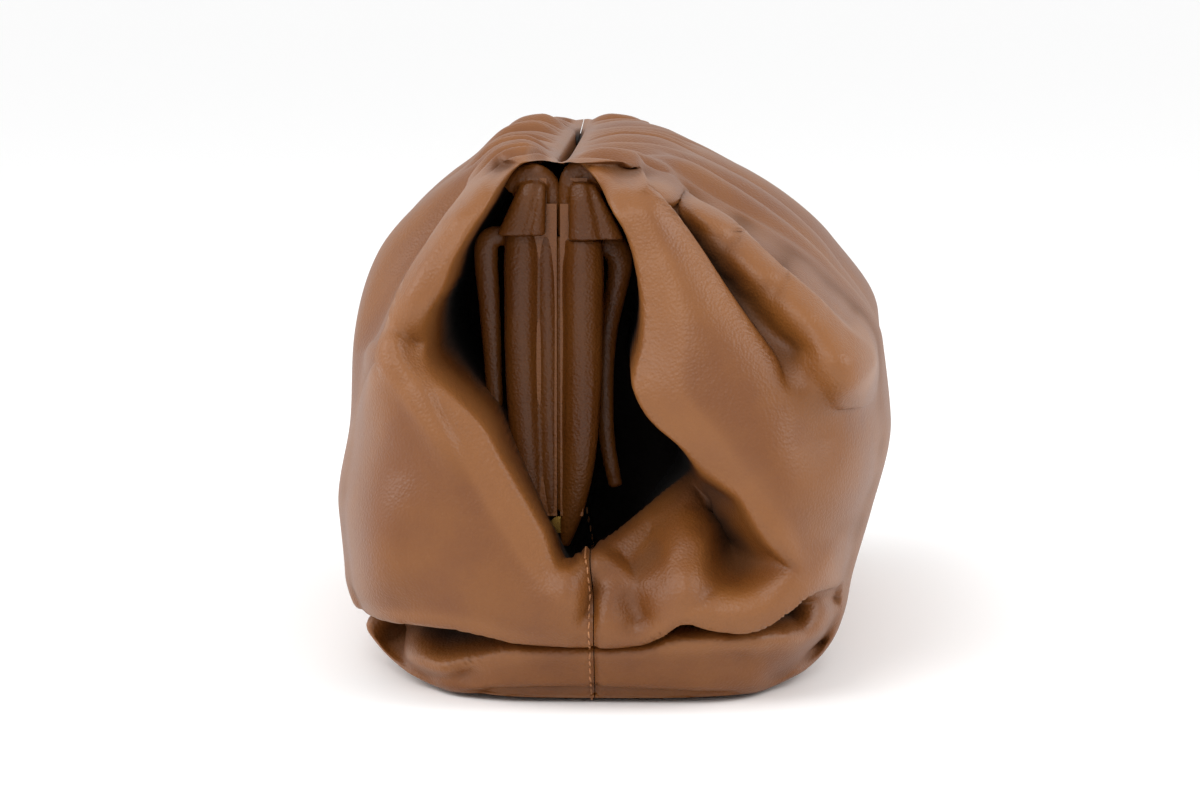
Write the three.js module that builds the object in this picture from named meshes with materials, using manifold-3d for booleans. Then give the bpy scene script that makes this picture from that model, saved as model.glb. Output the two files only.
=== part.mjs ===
// A soft gathered leather clutch on a two-part frame, seen from its end.
// X runs along the frame, with the photographed end at +X. Y runs from the front half to the back. Z is up.
import * as THREE from "three";
import { mergeVertices } from "three/addons/utils/BufferGeometryUtils.js";
import Module from "manifold-3d";

const wasm = await Module();
wasm.setup();

// Driving sizes, in millimetres
const LENGTH = 380; // end to end
const DEPTH = 206; // front to back
const HEIGHT = 186; // floor to the gathered crown
const WALL = 2; // thickness of the leather
const GAP = 0.3; // clearance between pieces that meet
const SEAM_SHIFT = 14; // how far the end and base seam lies behind the mouth

// The frame: two hoops of leather-covered bar, each a top bar with a leg at either end
const BAR_THICK = 6; // top bar, front to back
const BAR_TALL = 12; // top bar, up and down
const BAR_DROP = 9; // top of the bar under the crown
const BAR_SHORT = 4.5; // how far the bar stops before the end of the mouth
const LEG_THICK = 8; // leg, front to back
const LEG_WIDE = 12; // leg, along the bag
const LEG_APART = 1.2; // open slit between the two legs
const LEG_FOOT = 58; // height of the foot of each leg
const LEG_LAP = 3; // how far a leg reaches up into its bar

// The hinge: a brass barrel with a lug, under the feet of the two legs
const HINGE_RADIUS = 3;
const HINGE_LONG = 9;

// The leather pieces folded round the legs
const WRAP_SHORT = 1.5; // how far a wrap stands back from the outer face of its leg

// The folds
const POCKET_FLOOR = 92; // the end pocket's floor, from the middle of the bag
const POCKET_RISE = 12; // how far that floor comes out towards its foot
const PLEAT_DEEP = 8; // the deepest side pleat
const PLEAT_COUNT = 9;
const PLEAT_PITCH = 27;
const PLEAT_WIDE = 10;
const GATHER_DEEP = 1.6; // the fine gathers along the mouth
const GATHER_PITCH = 18;

// The mesh: columns go from the near seam round to the far seam, rows from the mouth to the base seam
const COLUMNS_END = 16;
const COLUMNS_SIDE = 11;
const ROWS = 27;

const COLOURS = { leather: 0x9a5f38, wrap: 0x95592f, brass: 0xc9a24a };

// Level sections of the leather, from the mouth edge down to the base seam. down: share of the way.
// up: share of HEIGHT. centre: share of SEAM_SHIFT. front, back: share of DEPTH. reach: share of LENGTH.
// frontRound, bendB: how round the corners are, from 0 for square to 1 for an ellipse.
const LEVELS = [
  { down: 0.0, up: 0.914, centre: 0, front: 0.004, back: 0.004, reach: 0.35, bendF: 0.8, bendB: 0.8 },
  { down: 0.03, up: 0.973, centre: 0, front: 0.008, back: 0.008, reach: 0.355, bendF: 0.8, bendB: 0.8 },
  { down: 0.06, up: 1.0, centre: 0, front: 0.039, back: 0.044, reach: 0.363, bendF: 0.8, bendB: 0.78 },
  { down: 0.1, up: 0.995, centre: 0, front: 0.107, back: 0.165, reach: 0.374, bendF: 0.8, bendB: 0.72 },
  { down: 0.18, up: 0.925, centre: 0, front: 0.214, back: 0.34, reach: 0.395, bendF: 0.76, bendB: 0.66 },
  { down: 0.28, up: 0.78, centre: 0, front: 0.35, back: 0.495, reach: 0.421, bendF: 0.72, bendB: 0.6 },
  { down: 0.38, up: 0.618, centre: 0.14, front: 0.408, back: 0.573, reach: 0.447, bendF: 0.68, bendB: 0.58 },
  { down: 0.48, up: 0.457, centre: 0.43, front: 0.427, back: 0.563, reach: 0.47, bendF: 0.62, bendB: 0.58 },
  { down: 0.58, up: 0.296, centre: 0.86, front: 0.476, back: 0.505, reach: 0.488, bendF: 0.55, bendB: 0.54 },
  { down: 0.66, up: 0.177, centre: 1, front: 0.471, back: 0.466, reach: 0.494, bendF: 0.5, bendB: 0.5 },
  { down: 0.72, up: 0.108, centre: 1, front: 0.442, back: 0.447, reach: 0.484, bendF: 0.46, bendB: 0.46 },
  { down: 0.78, up: 0.043, centre: 1, front: 0.388, back: 0.403, reach: 0.471, bendF: 0.44, bendB: 0.44 },
  { down: 0.83, up: 0.005, centre: 1, front: 0.311, back: 0.34, reach: 0.455, bendF: 0.44, bendB: 0.44 },
  { down: 0.87, up: 0, centre: 1, front: 0.243, back: 0.272, reach: 0.437, bendF: 0.46, bendB: 0.46 },
  { down: 1.0, up: 0, centre: 1, front: 0, back: 0, reach: 0.395, bendF: 0.6, bendB: 0.6 },
];

// The long folds of an end, as lines that its leather passes through.
// across: share of DEPTH from the mouth. up: share of HEIGHT. out: share of LENGTH from the middle.
const FOLD_LINES = [
  { fold: "mouth end", across: [0, 0, 0], up: [0.97, 0.9, 0.8], out: [0.368, 0.38, 0.4] },
  {
    fold: "left lip",
    across: [-0.02, -0.06, -0.13, -0.2],
    up: [1.0, 0.98, 0.86, 0.72],
    out: [0.38, 0.395, 0.424, 0.442],
  },
  { fold: "dent rim", across: [-0.2, -0.19], up: [0.66, 0.61], out: [0.416, 0.44] },
  {
    fold: "left V lip",
    across: [-0.16, -0.11, -0.05, 0.02],
    up: [0.58, 0.53, 0.42, 0.29],
    out: [0.458, 0.468, 0.482, 0.479],
  },
  {
    fold: "left roll",
    across: [-0.08, -0.13, -0.19, -0.24],
    up: [0.97, 0.88, 0.8, 0.73],
    out: [0.416, 0.44, 0.455, 0.458],
  },
  {
    fold: "left ridge",
    across: [-0.17, -0.23, -0.29, -0.22, -0.17],
    up: [0.86, 0.78, 0.68, 0.59, 0.56],
    out: [0.416, 0.43, 0.432, 0.466, 0.479],
  },
  { fold: "left dent", across: [-0.24, -0.25, -0.23], up: [0.68, 0.65, 0.62], out: [0.405, 0.395, 0.405] },
  {
    fold: "left billow",
    across: [-0.28, -0.18, -0.23, -0.12, -0.3],
    up: [0.52, 0.46, 0.32, 0.34, 0.27],
    out: [0.437, 0.489, 0.495, 0.5, 0.447],
  },
  {
    fold: "brow",
    across: [-0.25, -0.13, 0.09, 0.2, 0.39],
    up: [0.18, 0.16, 0.14, 0.16, 0.2],
    out: [0.463, 0.492, 0.495, 0.5, 0.463],
  },
  {
    fold: "base roll",
    across: [-0.22, -0.09, 0.09, 0.24, 0.37],
    up: [0.08, 0.08, 0.08, 0.09, 0.1],
    out: [0.42, 0.468, 0.476, 0.474, 0.437],
  },
  {
    fold: "right lip",
    across: [0.04, 0.09, 0.15, 0.12, 0.15, 0.23],
    up: [0.98, 0.91, 0.7, 0.58, 0.52, 0.47],
    out: [0.384, 0.405, 0.448, 0.468, 0.474, 0.463],
  },
  {
    fold: "right roll",
    across: [0.1, 0.16, 0.21, 0.24, 0.28, 0.35],
    up: [0.99, 0.88, 0.75, 0.61, 0.5, 0.39],
    out: [0.41, 0.437, 0.463, 0.484, 0.495, 0.489],
  },
  { fold: "right edge", across: [0.19, 0.24, 0.34], up: [0.9, 0.83, 0.65], out: [0.42, 0.437, 0.461] },
  { fold: "right side", across: [0.4, 0.45, 0.46], up: [0.53, 0.41, 0.31], out: [0.468, 0.442, 0.416] },
  {
    fold: "right swirl",
    across: [0.25, 0.32, 0.38, 0.4, 0.29, 0.2],
    up: [0.46, 0.41, 0.33, 0.26, 0.19, 0.21],
    out: [0.474, 0.489, 0.482, 0.458, 0.5, 0.503],
  },
  { fold: "dimple", across: [0.23, 0.26, 0.29], up: [0.39, 0.33, 0.27], out: [0.42, 0.42, 0.434] },
  {
    fold: "right V lip",
    across: [0.05, 0.1, 0.15, 0.2],
    up: [0.32, 0.36, 0.4, 0.44],
    out: [0.471, 0.471, 0.466, 0.45],
  },
  { fold: "seam", across: [0.08, 0.09, 0.09], up: [0.27, 0.21, 0.16], out: [0.484, 0.492, 0.492] },
];

// The rim of the pocket under the mouth, down its left lip and up its right lip. soft: share of DEPTH.
const POCKET_RIM = [
  { across: 0.0, up: 0.93, soft: 0.03 },
  { across: -0.06, up: 0.93, soft: 0.04 },
  { across: -0.13, up: 0.85, soft: 0.045 },
  { across: -0.2, up: 0.71, soft: 0.035 },
  { across: -0.19, up: 0.61, soft: 0.05 },
  { across: -0.11, up: 0.51, soft: 0.055 },
  { across: -0.06, up: 0.4, soft: 0.045 },
  { across: 0.0, up: 0.27, soft: 0.03 },
  { across: 0.06, up: 0.28, soft: 0.035 },
  { across: 0.15, up: 0.38, soft: 0.08 },
  { across: 0.22, up: 0.45, soft: 0.06 },
  { across: 0.12, up: 0.58, soft: 0.055 },
  { across: 0.15, up: 0.7, soft: 0.05 },
  { across: 0.12, up: 0.83, soft: 0.045 },
  { across: 0.07, up: 0.92, soft: 0.04 },
];

// Narrow creases (rise below 0) and ridges of an end. rise, wide: share of DEPTH.
const CREASES = [
  {
    crease: "left valley",
    across: [-0.06, -0.17, -0.26, -0.31],
    up: [1.0, 0.91, 0.79, 0.7],
    rise: -0.06, wide: 0.05,
  },
  {
    crease: "first right valley",
    across: [0.12, 0.22, 0.31, 0.41],
    up: [1.04, 0.9, 0.73, 0.56],
    rise: -0.07, wide: 0.05,
  },
  {
    crease: "second right ridge",
    across: [0.16, 0.25, 0.38, 0.53],
    up: [1.04, 0.95, 0.81, 0.64],
    rise: 0.03, wide: 0.05,
  },
  {
    crease: "second right valley",
    across: [0.18, 0.28, 0.39, 0.52],
    up: [1.04, 0.95, 0.83, 0.69],
    rise: -0.06, wide: 0.04,
  },
  {
    crease: "base crease",
    across: [-0.34, -0.2, 0.09, 0.36, 0.48],
    up: [0.18, 0.1, 0.08, 0.13, 0.21],
    rise: -0.055, wide: 0.032,
  },
];

const clamp01 = (v) => Math.min(Math.max(v, 0), 1);
const lerp = THREE.MathUtils.lerp;
const smooth = (from, to, v) => {
  const q = clamp01((v - from) / (to - from));
  return q * q * (3 - 2 * q);
};

// A curve through one column of LEVELS that never swings past its own rows
function levelValue(column, down) {
  const last = LEVELS.length - 1;
  const slope = (i) => {
    const [above, below] = [LEVELS[i], LEVELS[i + 1]];
    return (below[column] - above[column]) / (below.down - above.down);
  };
  const tangent = (i) => {
    if (i === 0) return slope(0);
    if (i === last) return slope(last - 1);
    const [before, after] = [slope(i - 1), slope(i)];
    return before * after > 0 ? (2 * before * after) / (before + after) : 0;
  };
  let i = 0;
  while (i < last - 1 && LEVELS[i + 1].down <= down) i++;
  const span = LEVELS[i + 1].down - LEVELS[i].down;
  const q = (down - LEVELS[i].down) / span;
  return (
    (2 * q ** 3 - 3 * q ** 2 + 1) * LEVELS[i][column] +
    (q ** 3 - 2 * q ** 2 + q) * span * tangent(i) +
    (3 * q ** 2 - 2 * q ** 3) * LEVELS[i + 1][column] +
    (q ** 3 - q ** 2) * span * tangent(i + 1)
  );
}

// A point of the plain form, before its folds. side: -1 front, 1 back. turn: 0 near seam, PI far seam.
function plainPoint(side, down, turn) {
  const power = 2 / levelValue(side < 0 ? "bendF" : "bendB", down);
  const [c, s] = [Math.cos(turn), Math.sin(turn)];
  const scale = (Math.abs(c) ** power + Math.abs(s) ** power) ** (-1 / power);
  const width = levelValue(side < 0 ? "front" : "back", down) * DEPTH;
  return new THREE.Vector3(
    levelValue("reach", down) * LENGTH * scale * c,
    levelValue("centre", down) * SEAM_SHIFT + side * (width * scale * s + GAP / 2),
    levelValue("up", down) * HEIGHT,
  );
}

// Distance from a point to a line of points, in the end view, and the share of the way along it
function distanceTo(line, y, z) {
  let best = { distance: Infinity, along: 0 };
  for (let i = 0; i + 1 < line.length; i++) {
    const [a, b] = [line[i], line[i + 1]];
    const [dy, dz] = [b.y - a.y, b.z - a.z];
    const q = clamp01(((y - a.y) * dy + (z - a.z) * dz) / (dy * dy + dz * dz));
    const distance = Math.hypot(y - a.y - q * dy, z - a.z - q * dz);
    if (distance < best.distance) best = { distance, along: (i + q) / (line.length - 1) };
  }
  return best;
}

const lineOf = ({ across, up, out }) =>
  across.map((share, i) => new THREE.Vector3(out ? out[i] * LENGTH : 0, share * DEPTH, up[i] * HEIGHT));

// A smooth curve through a line's points
const curveOf = (points, steps) => new THREE.CatmullRomCurve3(points, false, "centripetal").getPoints(steps);

// The points that an end's leather passes through: its fold lines, and its border where the sides begin
const BORDER_TURNS = [0.95, 1.15];
const border = [];
for (const side of [-1, 1]) {
  for (let down = 0.12; down < 0.8; down += 0.05)
    for (const turn of BORDER_TURNS) border.push(plainPoint(side, down, turn));
  for (const down of [0.08, 0.82])
    for (const turn of [0.2, 0.5, 0.8]) border.push(plainPoint(side, down, turn));
}
const knots = [...FOLD_LINES.flatMap((row) => curveOf(lineOf(row), 3 * (row.up.length - 1))), ...border];

// The thin plate through those points: the distance out from the middle, as a function of the end view
const STIFF = 0.002;
const plateTerm = (y, z, knot) => {
  const square = ((y - knot.y) ** 2 + (z - knot.z) ** 2) / DEPTH ** 2;
  return square > 0 ? square * Math.log(square) : 0;
};
function solve(matrix, right) {
  const n = right.length;
  for (let i = 0; i < n; i++) {
    let pivot = i;
    for (let r = i + 1; r < n; r++) if (Math.abs(matrix[r][i]) > Math.abs(matrix[pivot][i])) pivot = r;
    [matrix[i], matrix[pivot]] = [matrix[pivot], matrix[i]];
    [right[i], right[pivot]] = [right[pivot], right[i]];
    for (let r = i + 1; r < n; r++) {
      const factor = matrix[r][i] / matrix[i][i];
      for (let k = i; k < n; k++) matrix[r][k] -= factor * matrix[i][k];
      right[r] -= factor * right[i];
    }
  }
  for (let i = n - 1; i >= 0; i--) {
    for (let k = i + 1; k < n; k++) right[i] -= matrix[i][k] * right[k];
    right[i] /= matrix[i][i];
  }
  return right;
}
const plate = (() => {
  const flat = (p) => [1, p.y / DEPTH, p.z / DEPTH];
  const rows = knots.map((p, i) => [
    ...knots.map((q, j) => plateTerm(p.y, p.z, q) + (i === j ? STIFF : 0)),
    ...flat(p),
  ]);
  for (const k of [0, 1, 2]) rows.push([...knots.map((p) => flat(p)[k]), 0, 0, 0]);
  return solve(rows, [...knots.map((p) => p.x), 0, 0, 0]);
})();
function plateReach(y, z) {
  const n = knots.length;
  let reach = plate[n] + (plate[n + 1] * y) / DEPTH + (plate[n + 2] * z) / DEPTH;
  for (let i = 0; i < n; i++) reach += plate[i] * plateTerm(y, z, knots[i]);
  return reach;
}

// How far a point of the end view lies inside the pocket: 0 outside its rim, 1 on its floor
const rim = POCKET_RIM.map((row) => new THREE.Vector3(row.soft * DEPTH, row.across * DEPTH, row.up * HEIGHT));
function pocketShare(y, z) {
  const { distance, along } = distanceTo(rim, y, z);
  const at = along * (rim.length - 1);
  const k = Math.min(Math.floor(at), rim.length - 2);
  const soft = lerp(rim[k].x, rim[k + 1].x, at - k);
  let inside = false;
  rim.forEach((a, i) => {
    const b = rim[(i + 1) % rim.length];
    if (a.z > z !== b.z > z && y < a.y + ((z - a.z) * (b.y - a.y)) / (b.z - a.z)) inside = !inside;
  });
  return smooth(-0.45, 0.75, ((inside ? 1 : -1) * distance) / soft);
}

// How far out the leather of an end lies, at a point of the end view
function endReach(y, z) {
  const reach = plateReach(y, z);
  const floor = POCKET_FLOOR + POCKET_RISE * smooth(0.45 * HEIGHT, 0.27 * HEIGHT, z);
  return reach - pocketShare(y, z) * Math.max(reach - floor, 0);
}

// The creases of an end, as a height over its leather
const creaseLines = CREASES.map((row) => ({ ...row, line: curveOf(lineOf(row), 12) }));
const creaseRise = (y, z) =>
  creaseLines.reduce((sum, row) => {
    const { distance, along } = distanceTo(row.line, y, z);
    const ends = smooth(0, 0.12, along) * smooth(0, 0.12, 1 - along);
    return sum + row.rise * DEPTH * ends * Math.exp(-((distance / (row.wide * DEPTH)) ** 2));
  }, 0);

// The pleats that fan down a long side from the mouth, and the fine gathers above them
function pleatRise(side, down, x) {
  let rise = 0;
  for (let i = 0; i < PLEAT_COUNT; i++) {
    const start = (i - (PLEAT_COUNT - 1) / 2) * PLEAT_PITCH + 4 * Math.sin(5 * i + side);
    const lean = 0.32 * start + 7 * Math.sin(3 * i + 2 * side);
    const wide = PLEAT_WIDE * (0.45 + 1.2 * smooth(0.06, 0.45, down));
    const deep = PLEAT_DEEP * (0.75 + 0.25 * Math.sin(7 * i + side));
    const reach = 0.45 + 0.12 * Math.sin(2 * i + side);
    const off = (x - start - lean * smooth(0.05, 0.5, down)) / wide;
    const ends = smooth(0.12, 0.26, down) * (1 - smooth(0.7 * reach, 1.4 * reach, down));
    rise -= deep * Math.exp(-off * off) * ends;
  }
  const band = smooth(0.04, 0.08, down) * (1 - smooth(0.1, 0.25, down));
  return rise + GATHER_DEEP * band * Math.cos((2 * Math.PI * x) / GATHER_PITCH);
}

// The rows and columns of a half of the leather
const turns = [];
const COLUMN_BEND = 0.9; // turn at which an end's columns give way to the side's
for (let i = 0; i <= COLUMNS_END; i++) turns.push((COLUMN_BEND * i) / COLUMNS_END);
const farBend = Math.PI - COLUMN_BEND;
for (let i = 1; i <= COLUMNS_SIDE; i++) turns.push(lerp(COLUMN_BEND, farBend, i / COLUMNS_SIDE));
for (let i = 1; i <= COLUMNS_END; i++) turns.push(lerp(farBend, Math.PI, i / COLUMNS_END));
const downs = Array.from({ length: ROWS }, (_, i) => {
  const q = i / (ROWS - 1);
  return q < 0.15 ? (q / 0.15) * 0.1 : lerp(0.1, 1, (q - 0.15) / 0.85);
});

const triangleNormal = (a, b, c) => b.clone().sub(a).cross(c.clone().sub(a));

// The outward normals of a grid of points
function gridNormals(grid, side) {
  const normals = grid.map((row) => row.map(() => new THREE.Vector3()));
  for (let r = 0; r + 1 < grid.length; r++)
    for (let c = 0; c + 1 < grid[0].length; c++) {
      const corners = [[r, c], [r, c + 1], [r + 1, c + 1], [r + 1, c]];
      const diagonal = triangleNormal(grid[r][c], grid[r + 1][c + 1], grid[r + 1][c]);
      diagonal.add(triangleNormal(grid[r][c], grid[r][c + 1], grid[r + 1][c + 1])).multiplyScalar(-side);
      for (const [i, j] of corners) normals[i][j].add(diagonal);
    }
  normals.forEach((row) => row.forEach((n) => n.normalize()));
  return normals;
}

// Evens out the points of the steep folds, and keeps the borders' own lines
const RELAX_PASSES = 4;
function relax(grid, shares) {
  const last = grid[0].length - 1;
  return grid.map((row, r) =>
    row.map((p, c) => {
      if (shares[r][c] <= 0) return p;
      const beside = c === 0 || c === last ? [p, p] : [row[c - 1], row[c + 1]];
      const around = [grid[r - 1][c], grid[r + 1][c], ...beside];
      const mean = around.reduce((a, b) => a.add(b), new THREE.Vector3());
      const moved = p.clone().lerp(mean.divideScalar(4), 0.6 * shares[r][c]);
      return c === 0 || c === last ? moved.setY(p.y) : moved;
    }),
  );
}

// The outer face of one half of the leather
function outerGrid(side) {
  const plain = downs.map((down) => turns.map((turn) => plainPoint(side, down, turn)));
  const normals = gridNormals(plain, side);
  const shares = plain.map((row) => row.map(() => 0));
  const folded = plain.map((row, r) =>
    row.map((p, c) => {
      const n = normals[r][c].clone();
      if (c === 0 || c === turns.length - 1) n.setY(0).normalize();
      const end = Math.sign(p.x) || 1;
      const facing = Math.abs(n.x);
      const down = downs[r];
      const blend = smooth(0.25, 0.55, facing) * smooth(0.07, 0.13, down) * (1 - smooth(0.78, 0.84, down));
      const pocket = blend > 0 ? pocketShare(p.y, p.z) : 0;
      const crease = creaseRise(p.y, p.z) * smooth(0.02, 0.3, facing) * (1 - pocket);
      const pleat = pleatRise(side, down, p.x) * (1 - smooth(0.1, 0.4, facing));
      shares[r][c] = blend;
      const point = p.clone();
      const share = Math.max(blend, pocket);
      if (blend > 0) point.setX(end * lerp(Math.abs(p.x), endReach(p.y, p.z), share));
      point.addScaledVector(n, crease + pleat);
      return point.setZ(Math.max(point.z, 0));
    }),
  );
  let grid = folded;
  for (let pass = 0; pass < RELAX_PASSES; pass++) grid = relax(grid, shares);
  return grid;
}

// A closed body from an outer grid and the same grid moved in by the wall
function shell(outer, side) {
  const normals = gridNormals(outer, side);
  const rows = outer.length;
  const columns = outer[0].length;
  const inner = outer.map((row, r) =>
    row.map((p, c) => {
      const n = normals[r][c].clone();
      if (c === 0 || c === columns - 1 || r === rows - 1) n.setY(0);
      if (r === rows - 1) n.set(0, 0, -1);
      return p.clone().addScaledVector(n.normalize(), -WALL);
    }),
  );
  const index = (layer, r, c) => layer * rows * columns + r * columns + c;
  const triangles = [];
  const quad = (a, b, c, d) => {
    const corners = side > 0 ? [a, b, c, d] : [a, d, c, b];
    triangles.push(...[0, 1, 2, 0, 2, 3].map((i) => corners[i]));
  };
  for (let r = 0; r + 1 < rows; r++)
    for (let c = 0; c + 1 < columns; c++) {
      quad(index(0, r, c), index(0, r + 1, c), index(0, r + 1, c + 1), index(0, r, c + 1));
      quad(index(1, r, c), index(1, r, c + 1), index(1, r + 1, c + 1), index(1, r + 1, c));
    }
  const edge = ([r, c], [r2, c2]) => quad(index(0, r, c), index(1, r, c), index(1, r2, c2), index(0, r2, c2));
  const [bottom, far] = [rows - 1, columns - 1];
  for (let r = 0; r < bottom; r++) {
    edge([r, 0], [r + 1, 0]);
    edge([r + 1, far], [r, far]);
  }
  for (let c = 0; c < far; c++) {
    edge([0, c + 1], [0, c]);
    edge([bottom, c], [bottom, c + 1]);
  }
  const positions = [...outer.flat(), ...inner.flat()].flatMap((p) => p.toArray());
  const geometry = new THREE.BufferGeometry();
  geometry.setAttribute("position", new THREE.Float32BufferAttribute(positions, 3));
  geometry.setIndex(triangles);
  return geometry;
}

// Geometry to a manifold-3d solid, and back
function toSolid(geometry) {
  const bare = geometry.clone();
  bare.deleteAttribute("normal");
  bare.deleteAttribute("uv");
  const merged = mergeVertices(bare, 1e-4);
  return new wasm.Manifold(
    new wasm.Mesh({
      numProp: 3,
      vertProperties: merged.attributes.position.array,
      triVerts: new Uint32Array(merged.index.array),
    }),
  );
}
function toGeometry(solid) {
  const mesh = solid.getMesh();
  const geometry = new THREE.BufferGeometry();
  geometry.setAttribute("position", new THREE.BufferAttribute(mesh.vertProperties, 3));
  geometry.setIndex(new THREE.BufferAttribute(mesh.triVerts, 1));
  return geometry;
}
const boxBetween = (low, high) => {
  const geometry = new THREE.BoxGeometry(...high.map((v, i) => v - low[i]));
  return geometry.translate(...high.map((v, i) => (v + low[i]) / 2));
};

// The frame: its inner face lies behind the leather that turns down into the mouth
const barInner = GAP / 2 + LEVELS[1].front * DEPTH + WALL + GAP;
const barEnd = LEVELS[0].reach * LENGTH - BAR_SHORT;
const barTop = HEIGHT - BAR_DROP;
const barFoot = barTop - BAR_TALL;
const legInner = LEG_APART / 2;
const legOuter = legInner + LEG_THICK;
const legBack = barEnd - LEG_WIDE;

function spanBox(side, [nearX, farX], [innerY, outerY], [lowZ, highZ], clear = 0) {
  const ys = [side * innerY, side * outerY].sort((a, b) => a - b);
  return boxBetween(
    [Math.min(nearX, farX) - clear, ys[0] - clear, lowZ - clear],
    [Math.max(nearX, farX) + clear, ys[1] + clear, highZ + clear],
  );
}
function framePieces(side, clear = 0) {
  const bar = spanBox(side, [-barEnd, barEnd], [barInner, barInner + BAR_THICK], [barFoot, barTop], clear);
  const legs = [-1, 1].map((end) =>
    spanBox(side, [end * legBack, end * barEnd], [legInner, legOuter], [LEG_FOOT, barFoot + LEG_LAP], clear),
  );
  return [bar, ...legs].map(toSolid);
}
const frameGeometry = (side) => toGeometry(framePieces(side).reduce((a, b) => a.add(b)));

function hingeGeometry(end, clear = 0) {
  const radius = HINGE_RADIUS + clear;
  const barrel = new THREE.CylinderGeometry(radius, radius, HINGE_LONG + 2 * clear, 12).rotateZ(Math.PI / 2);
  return barrel.translate(end * (barEnd - LEG_WIDE / 2), 0, LEG_FOOT - GAP - HINGE_RADIUS);
}

// A half of the leather, open where the legs and the hinges come through under the mouth
function leatherGeometry(side) {
  const cuts = [-1, 1].flatMap((sign) => [...framePieces(sign, GAP), toSolid(hingeGeometry(sign, GAP))]);
  const solid = cuts.reduce((a, b) => a.subtract(b), toSolid(shell(outerGrid(side), side)));
  const bodies = solid.decompose().sort((a, b) => b.volume() - a.volume());
  return toGeometry(bodies[0]);
}

// The leather folded beside a leg, from the V of the pocket up to the corner of the frame.
// up: share of HEIGHT. wide: share of the room between the leg and the pocket's own leather.
const LEG_WRAP = [
  { up: 0.46, wide: 0.5 },
  { up: 0.52, wide: 0.7 },
  { up: 0.6, wide: 0.85 },
  { up: 0.74, wide: 0.9 },
  { up: 0.78, wide: 0.75 },
];
const CORNER_WRAP = [
  { up: 0.79, wide: 0.85 },
  { up: 0.83, wide: 0.75 },
  { up: 0.86, wide: 0.55 },
];
const WRAP_DEEP = 10; // a wrap, along the bag
const WRAP_WIDEST = 18; // a wrap, front to back
const WRAP_CLEAR = 5; // a wrap's clearance in the folded pocket
const wrapFace = barEnd - WRAP_SHORT;
const wrapBack = wrapFace - WRAP_DEEP;

// How far across the pocket stays open beside a leg, at one height
function pocketRoom(side, z) {
  let room = 0;
  const isOpen = (across) => endReach(side * (legOuter + across), z) < wrapBack - WRAP_CLEAR;
  while (room < WRAP_WIDEST + WRAP_CLEAR && isOpen(room)) room += 0.5;
  return Math.max(room - WRAP_CLEAR, 2 * GAP);
}

// The outer face of a wrap has two rolls with a furrow between them.
// wide: share across the wrap. deep: share of WRAP_DEEP.
const ROLLS = [
  { wide: 0, deep: 0.8 },
  { wide: 0.25, deep: 1 },
  { wide: 0.5, deep: 0.65 },
  { wide: 0.78, deep: 1 },
  { wide: 1, deep: 0.7 },
  { wide: 1, deep: 0 },
  { wide: 0, deep: 0 },
];
function wrapGeometry(rows, side, end) {
  const rings = rows.map((row) => {
    const inner = legOuter + GAP;
    const wide = row.wide * pocketRoom(side, row.up * HEIGHT);
    return ROLLS.map((roll) => {
      const across = inner + roll.wide * wide;
      const out = wrapBack + roll.deep * WRAP_DEEP;
      return new THREE.Vector3(end * out, side * across, row.up * HEIGHT);
    });
  });
  return stackGeometry(rings);
}

// A closed solid from rings of points, the first lowest, with flat ends
function stackGeometry(rings) {
  const outline = rings[0].map((p) => new THREE.Vector2(p.x, p.y));
  if (THREE.ShapeUtils.isClockWise(outline)) [outline, ...rings].forEach((ring) => ring.reverse());
  const count = outline.length;
  const positions = rings.flat().flatMap((p) => p.toArray());
  const triangles = [];
  for (let r = 0; r + 1 < rings.length; r++)
    for (let i = 0; i < count; i++) {
      const [a, b] = [r * count + i, r * count + ((i + 1) % count)];
      triangles.push(a, b, b + count, a, b + count, a + count);
    }
  const last = (rings.length - 1) * count;
  for (const [a, b, c] of THREE.ShapeUtils.triangulateShape(outline, [])) {
    triangles.push(a, c, b);
    triangles.push(last + a, last + b, last + c);
  }
  const geometry = new THREE.BufferGeometry();
  geometry.setAttribute("position", new THREE.Float32BufferAttribute(positions, 3));
  geometry.setIndex(triangles);
  return geometry;
}

const materials = {
  leather: new THREE.MeshStandardMaterial({ color: COLOURS.leather, roughness: 0.5, metalness: 0 }),
  wrap: new THREE.MeshStandardMaterial({ color: COLOURS.wrap, roughness: 0.5, metalness: 0 }),
  brass: new THREE.MeshStandardMaterial({ color: COLOURS.brass, roughness: 0.3, metalness: 1 }),
};

const bag = new THREE.Group();
function addPiece(name, geometry, material) {
  const mesh = new THREE.Mesh(geometry, materials[material]);
  mesh.name = name;
  bag.add(mesh);
  return mesh;
}

const SIDES = { front: -1, back: 1 };
const ENDS = { near: 1, far: -1 };
for (const [half, side] of Object.entries(SIDES)) {
  addPiece(`body_${half}`, leatherGeometry(side), "leather");
  addPiece(`frame_${half}`, frameGeometry(side), "wrap");
  for (const [place, end] of Object.entries(ENDS)) {
    addPiece(`leg_wrap_${half}_${place}`, wrapGeometry(LEG_WRAP, side, end), "wrap");
    addPiece(`corner_wrap_${half}_${place}`, wrapGeometry(CORNER_WRAP, side, end), "wrap");
  }
}
for (const [place, end] of Object.entries(ENDS)) {
  addPiece(`hinge_${place}`, hingeGeometry(end), "brass");
}

// The row's origin is the middle of the underside of the whole bag
const bounds = new THREE.Box3().setFromObject(bag, true);
const middle = bounds.getCenter(new THREE.Vector3());
bag.position.set(-middle.x, -middle.y, -bounds.min.z);

export default bag;
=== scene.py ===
import math

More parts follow.
